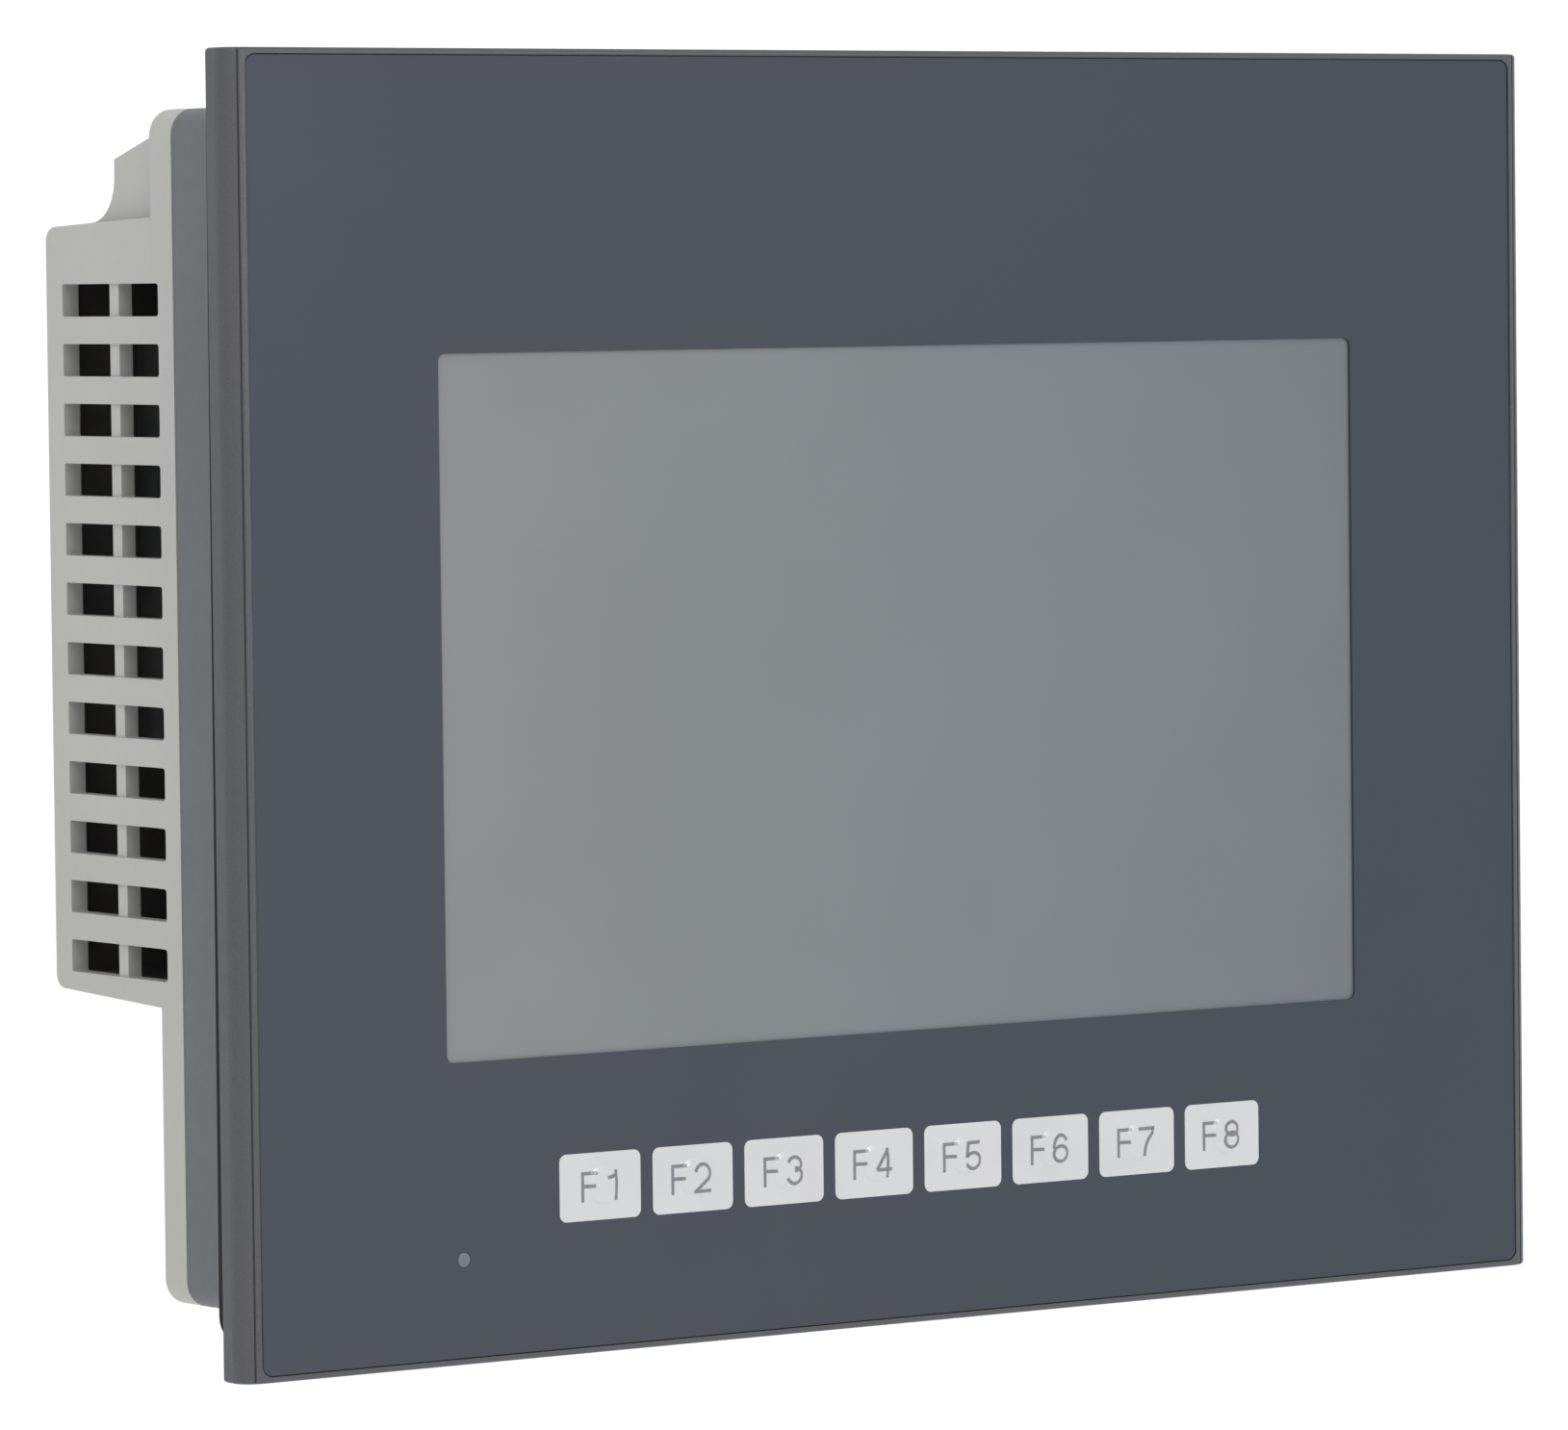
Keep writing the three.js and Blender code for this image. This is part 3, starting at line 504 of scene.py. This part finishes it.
def flange():
    """Flange with rounded sides, the recess for the sheet and the openings through it."""
    right = flange_plan()
    plan = right + [(-x, d) for x, d in reversed(right)]
    half = CASE_H / 2
    ends = [(inset, half - RIM_EASE + run) for inset, run in quarter(RIM_EASE)]
    rings = []
    for inset, z in [(i, -z) for i, z in reversed(ends)] + ends:
        sx = 1 - inset / (CASE_W / 2)
        sd = 1 - inset / (FLANGE / 2)
        rings.append([at(x * sx, FLANGE / 2 + (d - FLANGE / 2) * sd, z) for x, d in plan])
    case = loft("case_flange", rings)
    w, h = SHEET_W + 2 * SHEET_GAP, SHEET_H + 2 * SHEET_GAP
    cut(case, [prism("tool", rounded(w, h, SHEET_R + SHEET_GAP), -1, RECESS)])
    outlines = [rounded(WINDOW[0] + WINDOW_CLEAR, WINDOW[1] + WINDOW_CLEAR, 1.5)]
    for x, z in key_places():
        outlines.append(rounded(KEY_W + KEY_CLEAR, KEY_H + KEY_CLEAR, KEY_R + 0.2, x, z))
    outlines.append(disc(*middle_of("led_lens"), LAMP_R + LAMP_CLEAR))
    cut(case, [prism("tool", outline, -1, FLANGE + 1) for outline in outlines])
    ease(case, 0.1)
    dress(case, "housing", ["front_case"], "case_dark")


def collar():
    """Walls of the front case behind the flange, with the pockets that clamp fasteners hook into."""
    walls = prism("case_collar", rounded(BODY_W, BODY_H, BODY_R), FLANGE - 0.2, SEAM)
    inside = rounded(BODY_W - 2 * WALL, BODY_H - 2 * WALL, BODY_R - 1.5)
    cut(walls, [prism("tool", inside, 0, SEAM + 1)])
    pockets = []
    for x in (-CLAMP_X, CLAMP_X):
        for side in (-1, 1):
            z = side * BODY_H / 2
            across = (x - CLAMP_HALF, x + CLAMP_HALF)
            pockets.append(box("tool", *across, *CLAMP_DEPTHS, z - CLAMP_DEEP, z + CLAMP_DEEP))
    cut(walls, pockets)
    ease(walls, 0.1)
    dress(walls, "housing", ["front_case"], "case_collar")


def key_places():
    """Centre of every key, across and up."""
    return [middle_of(f"key_f{number}") for number in range(1, 9)]


# ---------------------------------------------------------------- overlay, screen and lamp
def overlay():
    """Printed sheet let into the flange, open at the screen, the keys and the lamp."""
    outline = rounded(SHEET_W, SHEET_H, SHEET_R)
    sheet = prism("sheet_overlay", outline, SHEET_FACE, SHEET_FACE + SHEET_T)
    tools = [prism("tool", rounded(*WINDOW, WINDOW_R), -1, 2)]
    for x, z in key_places():
        tools.append(prism("tool", rounded(KEY_W, KEY_H, KEY_R, x, z), -1, 2))
    tools.append(prism("tool", disc(*middle_of("led_lens"), LAMP_R + LAMP_GAP), -1, 2))
    cut(sheet, tools)
    ease(sheet, 0.05)
    dress(sheet, "housing", ["front_sheet"], "overlay_film")


def screen():
    """Touch panel as one plain pane."""
    w, h = size_of("touch_panel")
    _, depth, _ = spans("touch_panel")
    glass = prism("screen_touch", rounded(w, h, 1.2), *depth)
    ease(glass, 0.1)
    dress(glass, "housing", ["touch_panel"], "touch_glass")


def status_lamp():
    """Round lamp window, flush with the sheet."""
    x, z = middle_of("led_lens")
    soft = 0.15
    profile = [(LAMP_R, LAMP_DEEP)]
    profile += [(LAMP_R - inset, SHEET_FACE + soft - run) for inset, run in quarter(soft, 3)]
    lens = smooth(turned("lamp_window", x, z, profile), 40)
    dress(lens, "housing", ["led_lens"], "lamp_lens")


# ---------------------------------------------------------------- keys
def dome_height(x, z):
    """Rise of a key's face at a place measured from the key's middle."""
    r = math.hypot(x - DOME_SHIFT, z)
    t = min(max((DOME_R - r) / DOME_EDGE, 0.0), 1.0)
    crown = math.cos(min(r / DOME_R, 1.0) * math.pi / 2)
    return DOME_RISE * (0.75 * t * t * (3 - 2 * t) + 0.25 * crown)


def key_cap(number, x, z):
    """Key with a flat face that turns into rings of the embossed dome."""
    steps = 9
    w, h, r = KEY_W - 2 * KEY_GAP, KEY_H - 2 * KEY_GAP, KEY_R - KEY_GAP
    rings = [[at(px, KEY_DEEP, pz) for px, pz in rounded(w, h, r, x, z, steps)]]
    for inset, run in quarter(KEY_EASE, 3):
        outline = rounded(w - 2 * inset, h - 2 * inset, r - inset, x, z, steps)
        rings.append([at(px, SHEET_FACE + KEY_EASE - run, pz) for px, pz in outline])
    count = len(rings[0])
    first = -90 + 45 / (steps + 1)
    radii = [DOME_R + 0.15 - 0.1 * i for i in range(9)]
    radii += [DOME_R * (0.66 - 0.12 * i) for i in range(6)]
    for radius in radii:
        circle = arc(DOME_SHIFT, 0, radius, first, first + 360, count)[:-1]
        rings.append([at(x + px, SHEET_FACE - dome_height(px, pz), z + pz) for px, pz in circle])
    cap = smooth(loft(f"keycap_{number}", rings), 40)
    dress(cap, f"key_f{number}", [f"key_f{number}"], "key_white")


def letter_f():
    """Centre lines of the letter F."""
    w, h, edge = LETTER_W, LETTER_H, STROKE / 2
    return [
        [(edge, 0), (edge, h)],
        [(0, h - edge), (w, h - edge)],
        [(0, h * 0.52), (w * 0.88, h * 0.52)],
    ]


def digit(number):
    """Centre lines of a plain digit, each a run of points."""
    w, h, edge = DIGIT_W, LETTER_H, STROKE / 2
    mid, wide = w / 2, w / 2 - edge
    high, low = h * 0.26 - edge / 2, h * 0.29 - edge / 2
    up, down = h - edge - high, edge + low
    shapes = {
        1: [
            [(w * 0.2, h * 0.76), (w * 0.42, h * 0.78), (w * 0.6, h * 0.84)],
            [(w * 0.68, h), (w * 0.68, 0)],
        ],
        2: [
            arc(mid, h - edge - wide * 0.95, wide, 170, -35, 14) + [(edge, edge)],
            [(0, edge), (w, edge)],
        ],
        3: [
            arc(mid, up, wide * 0.92, 165, -90, 14, high / (wide * 0.92)),
            arc(mid, down, wide, 90, -165, 14, low / wide),
        ],
        4: [
            [(mid * 1.45, 0), (mid * 1.45, h)],
            [(mid * 1.42, h - edge), (edge, h * 0.28)],
            [(edge, h * 0.28), (w, h * 0.28)],
        ],
        5: [
            [(w * 0.92, h - edge), (w * 0.2, h - edge), (w * 0.12, h * 0.5)]
            + arc(mid, h * 0.33, wide, 140, -160, 14, (h * 0.33 - edge) / wide),
        ],
        6: [
            arc(mid, h * 0.32, wide, 0, 360, 20, (h * 0.32 - edge) / wide),
            arc(mid * 1.05, h * 0.5, wide * 1.04, 180, 35, 12, (h * 0.5 - edge) / wide),
        ],
        7: [
            [(0, h - edge), (w - edge, h - edge)]
            + arc(w * 1.25, 0, w * 0.9, 115, 180, 8, h * 0.95 / w),
        ],
        8: [
            arc(mid, up, wide * 0.9, 0, 360, 18, high / (wide * 0.9)),
            arc(mid, down, wide, 0, 360, 18, low / wide),
        ],
    }
    return shapes[number]


def finer(run, longest=0.12):
    """The same line with no step longer than a limit."""
    points = [run[0]]
    for (x0, z0), (x1, z1) in zip(run, run[1:]):
        pieces = max(1, math.ceil(math.hypot(x1 - x0, z1 - z0) / longest))
        for i in range(1, pieces + 1):
            points.append((x0 + (x1 - x0) * i / pieces, z0 + (z1 - z0) * i / pieces))
    return points


def side_of(run, i):
    """Half a stroke's width square to a line at one of its points, kept full at bends."""
    before, here, after = run[max(i - 1, 0)], run[i], run[min(i + 1, len(run) - 1)]
    legs = []
    for a, b in ((before, here), (here, after)):
        length = math.hypot(b[0] - a[0], b[1] - a[1])
        if length:
            legs.append(((b[0] - a[0]) / length, (b[1] - a[1]) / length))
    run_x, run_z = sum(leg[0] for leg in legs), sum(leg[1] for leg in legs)
    length = math.hypot(run_x, run_z)
    reach = STROKE / 2 * min(len(legs) / length, 2.0)
    return -run_z / length * reach, run_x / length * reach


def key_label(number, x, z):
    """Printed key number that follows the dome."""
    shape = digit(number)
    width = ADVANCE + max(px for run in shape for px, _ in run) + STROKE / 2
    left = TEXT_SHIFT - width / 2
    runs = [(left, run) for run in letter_f()] + [(left + ADVANCE, run) for run in shape]
    bm = bmesh.new()
    for order, (start, run) in enumerate(runs):
        run = finer(run)
        lift = PRINT_LIFT + 0.004 * order
        rows = []
        for i, (px, pz) in enumerate(run):
            sx, sz = side_of(run, i)
            row = []
            for k in (-1, 0, 1):
                tx, tz = start + px + k * sx, pz + k * sz - LETTER_H / 2
                row.append(bm.verts.new(at(x + tx, SHEET_FACE - dome_height(tx, tz) - lift, z + tz)))
            rows.append(row)
        for a, b in zip(rows, rows[1:]):
            for k in (0, 1):
                bm.faces.new((a[k], a[k + 1], b[k + 1], b[k]))
    label = smooth(mesh_object(f"keynumber_{number}", bm), 60)
    dress(label, f"key_f{number}", [], "key_print")


def keys():
    """All eight keys with their numbers."""
    for number, (x, z) in enumerate(key_places(), start=1):
        key_cap(number, x, z)
        key_label(number, x, z)


# ---------------------------------------------------------------- gasket
def gasket():
    """Rubber ring round the collar, a little narrower towards its top."""
    w, h = size_of("gasket")
    w -= 2 * GASKET_TAPER

    def ring(grow, radius, d):
        narrow = 2 * GASKET_TAPER / (w / 2) / h
        return [at(x * (1 - narrow * z), d, z) for x, z in rounded(w + grow, h + grow, radius)]

    _, (front, rear), _ = spans("gasket")
    profile = [(0.0, front)] + [(inset, rear - 0.2 + run) for inset, run in quarter(0.2, 4)]
    rings = []
    for inset, d in profile:
        rings.append(ring(-2 * inset, GASKET_R - inset, d))
    for inset, d in reversed(profile):
        rings.append(ring(2 * inset - 2 * GASKET_SECTION, GASKET_R - GASKET_SECTION + inset, d))
    seal = smooth(loft("gasket_ring", rings, capped=False), 40)
    dress(seal, "housing", ["gasket"], "gasket_rubber")


# ---------------------------------------------------------------- rear cover
def deep_profile(shrink, inset, turn):
    """Side outline of the deep part, its rear top and bottom edges rounded."""
    rear = REAR - shrink - inset
    low = HUMP_BOTTOM + shrink + lean(REAR) + inset
    high = HUMP_TOP - shrink - lean(REAR) - inset
    r = turn - inset
    first = SEAM + SEAM_GAP + 1 if shrink == 0 else SEAM - 2
    points = [(first, HUMP_BOTTOM + shrink + inset)]
    points += arc(rear - r, low + r, r, -90, 0)
    points += arc(rear - r, high - r, r, 0, 90)
    points.append((first, HUMP_TOP - shrink - inset))
    return points


def deep_part(name, shrink, turn, edge):
    """Block whose walls lean in with depth, smaller than the outside by a wall thickness."""
    half = BODY_W / 2 - shrink
    ends = [(inset, half - edge + run) for inset, run in quarter(edge, 4)]
    rings = []
    for inset, x in [(i, -x) for i, x in reversed(ends)] + ends:
        rings.append([at(x * (1 - lean(d) / half), d, z) for d, z in deep_profile(shrink, inset, turn)])
    return loft(name, rings)


def block_profile(inset):
    """Side of the block above the deep part: sloping top, upright back, coved foot."""
    cove = COVE + inset
    back = BLOCK_REAR - inset
    foot = HUMP_TOP - lean(BLOCK_REAR + 3.5) - inset  # top of the deep part, amid the cove
    slope = (BLOCK_TOPS[0] - BLOCK_TOPS[1]) / (BLOCK_REAR - BASE_REAR)
    first = SEAM + 2
    sunk = foot - 8  # reaches well down into the deep part

    def top_at(d):
        """Height of the sloping top, the inset measured square to the slope."""
        return BLOCK_TOPS[0] - (d - BASE_REAR) * slope - inset * 1.05

    points = [(first, sunk), (back + cove, sunk)]
    points += arc(back + cove, foot + cove, cove, -90, -180, 12)
    points += [(back, top_at(back)), (first, top_at(first))]
    return points


def hollow():
    """Space inside the rear cover."""
    inside = rounded(BODY_W - 2 * WALL, BODY_H - 2 * WALL, BODY_R - 1.5)
    space = prism("hollow", inside, SEAM - 1, BASE_REAR - WALL)
    combine(space, deep_part("deep", WALL, 1.0, 0.4), "UNION")
    upper = side_prism("upper", block_profile(WALL), WALL - BLOCK_HALF, BLOCK_HALF - WALL)
    combine(space, upper, "UNION")
    # The inside faces of the cover get the dark finish: painted shade where light hardly reaches.
    space.data.materials.clear()
    space.data.materials.append(MATERIALS["cover_inside_painted_shade"])
    return space


def vent_outline(d0, d1, z, soft):
    """Slot window in depth and up, with softer corners at its front end."""
    crisp = VENT_CORNER
    top, bottom = z + VENT_H / 2, z - VENT_H / 2
    points = arc(d1 - crisp, bottom + crisp, crisp, -90, 0, 4)
    points += arc(d1 - crisp, top - crisp, crisp, 0, 90, 4)
    points += arc(d0 + soft, top - soft, soft, 90, 180, 4)
    points += arc(d0 + soft, bottom + soft, soft, 180, 270, 4)
    return points


def cut_vents(cover):
    """Two windows per slot with a bar between them that sits just below the wall face."""
    middle = sum(VENT_BAR) / 2
    fronts, rears, bars = [], [], []
    for side in (-1, 1):
        wall = side * BODY_W / 2
        inner, outer = wall - side * 5, wall + side
        face = wall - side * (lean(middle) + BAR_SUNK)
        for row in range(VENT_ROWS):
            z = VENT_TOP - row * VENT_PITCH
            front = vent_outline(VENT_DEPTHS[0], VENT_BAR[0], z, VENT_FRONT_CORNER)
            rear = vent_outline(VENT_BAR[1], VENT_DEPTHS[1], z, VENT_CORNER)
            edges = (z - VENT_H / 2, z + VENT_H / 2)
            fronts.append(side_prism("tool", front, inner, outer))
            rears.append(side_prism("tool", rear, inner, outer))
            bars.append(box("tool", face, face + side * 2, VENT_BAR[0] - 1.2, VENT_BAR[1] + 1, *edges))
    for tools in (fronts, rears, bars):
        cut(cover, tools)


def cut_mouths(cover):
    """Connector mouths and the card door's opening in the underside, and the label's recess."""
    low, high = HUMP_BOTTOM - 2, HUMP_BOTTOM + 5
    tools = []
    for port in PORTS:
        (x0, x1), (d0, d1), _ = spans(port)
        across = (x0 - MOUTH_GAP, x1 + MOUTH_GAP)
        depth = (d0 - MOUTH_GAP, d1 + MOUTH_GAP)
        tools.append(box("tool", *across, *depth, low, high))
    (x0, x1), (d0, d1), _ = spans("card_door")
    across = (x0 - DOOR_GAP, x1 + DOOR_GAP)
    tools.append(box("tool", *across, d0 - DOOR_GAP, d1 + DOOR_REAR_GAP, low, high))
    (x0, x1), _, (z0, z1) = spans("rating_label")
    across = (x0 - LABEL_GAP, x1 + LABEL_GAP)
    up = (z0 - LABEL_GAP, z1 + LABEL_GAP)
    tools.append(box("tool", *across, REAR - LABEL_DEEP, REAR + 1, *up))
    cut(cover, tools)


def add_lugs(cover):
    """Lugs that hold the card door's pin."""
    (x0, x1), (d0, d1), (z0, z1) = spans("card_door_pin")
    lugs = []
    for x in (x0 + 1.2, x1 - 1.2):
        lugs.append(box("lug", x - 1, x + 1, d0 - 1, REAR - 4.6, z0 - 0.7, z1 + 2.5))
    combine(cover, join("lugs", lugs), "UNION")


def add_wells(cover):
    """Tubes around the four case screws, open to the rear."""
    tubes, wells = [], []
    for number in range(1, 5):
        x, z = middle_of(f"case_screw_{number}")
        head_rear = spans(f"case_screw_{number}")[1][1]
        floor = head_rear - HEAD_SEAT
        end = head_rear + TUBE_PAST_HEAD if head_rear > BASE_REAR else BASE_REAR - 0.5
        tubes.append(turned("tube", x, z, [(TUBE_R, SEAM - 0.1), (TUBE_R, end)]))
        profile = [(SHAFT_R, SEAM - 1), (SHAFT_R, floor), (WELL_R, floor), (WELL_R, REAR + 1)]
        wells.append(turned("well", x, z, profile))
    combine(cover, join("tubes", tubes), "UNION")
    cut(cover, wells)


def rear_cover():
    """Pale cover: base, deep part and block as one shell, then hollowed and cut open."""
    cover = prism("cover_rear", rounded(BODY_W, BODY_H, BODY_R), SEAM + SEAM_GAP, BASE_REAR)
    combine(cover, deep_part("deep", 0.0, REAR_ROUND, SIDE_EASE), "UNION")
    combine(cover, side_prism("block", block_profile(0), -BLOCK_HALF, BLOCK_HALF), "UNION")
    cover.data.materials.clear()
    cover.data.materials.append(MATERIALS["cover_pale"])
    combine(cover, hollow(), "DIFFERENCE")
    add_wells(cover)
    cut_vents(cover)
    cut_mouths(cover)
    add_lugs(cover)
    ease(cover, 0.22)
    mount(cover, "housing", ["rear_cover"])


# ---------------------------------------------------------------- CAD nodes shown as they are
def dress_nodes():
    """Gives every CAD node its finish, and soft edges where it is shown."""
    slots = {part["node"]: part["material_slot"] for part in frame["record"]["subparts"]}
    for name, node in frame["nodes"].items():
        node.data.materials.clear()
        node.data.materials.append(MATERIALS[slots[name]])
        if not node.hide_render:
            ease(node, 0.12)


# ---------------------------------------------------------------- studio
def area_light(name, place, target, size, power):
    """Rectangular lamp aimed at a point."""
    lamp = bpy.data.lights.new(name, "AREA")
    lamp.shape = "RECTANGLE"
    lamp.size, lamp.size_y = size
    lamp.energy = power
    thing = bpy.data.objects.new(name, lamp)
    bpy.context.scene.collection.objects.link(thing)
    thing.location = place
    thing.rotation_euler = (Vector(target) - Vector(place)).to_track_quat("-Z", "Y").to_euler()


def studio():
    """Pale floor, even light all round and two soft lamps."""
    scene = bpy.context.scene
    scene.view_settings.view_transform = "Standard"
    world = bpy.data.worlds.new("studio_world")
    scene.world = world
    world.use_nodes = True
    back = world.node_tree.nodes["Background"]
    back.inputs["Color"].default_value = (1, 1, 1, 1)
    back.inputs["Strength"].default_value = 1.06
    bm = bmesh.new()
    bmesh.ops.create_grid(bm, x_segments=1, y_segments=1, size=12)
    floor = mesh_object("floor", bm)
    floor.location.z = -0.6
    floor.data.materials.append(Finish("floor_pale", (253, 253, 253), 0.9).blotch(300, 0.002).material)
    area_light("key_light", (-1.2, -1.6, 1.8), (0, 0, 0), (1.6, 1.6), 14)
    area_light("glint_light", (0.9, -3.0, 1.0), (0, 0, 0), (0.5, 0.5), 20)


def camera():
    """Camera of the main view."""
    lens = bpy.data.cameras.new("camera")
    lens.lens = CAMERA_LENS
    lens.sensor_width = 36
    lens.clip_start = 0.05
    lens.clip_end = 60
    thing = bpy.data.objects.new("camera", lens)
    bpy.context.scene.collection.objects.link(thing)
    turn = (
        Matrix.Rotation(math.radians(CAMERA_AZIMUTH), 4, "Z")
        @ Matrix.Rotation(math.radians(90 + CAMERA_PITCH), 4, "X")
        @ Matrix.Rotation(math.radians(CAMERA_ROLL), 4, "Z")
    )
    thing.matrix_world = Matrix.Translation(at(*CAMERA_AT)) @ turn
    bpy.context.scene.camera = thing


camera()
studio()
flange()
collar()
overlay()
screen()
keys()
status_lamp()
gasket()
rear_cover()
dress_nodes()
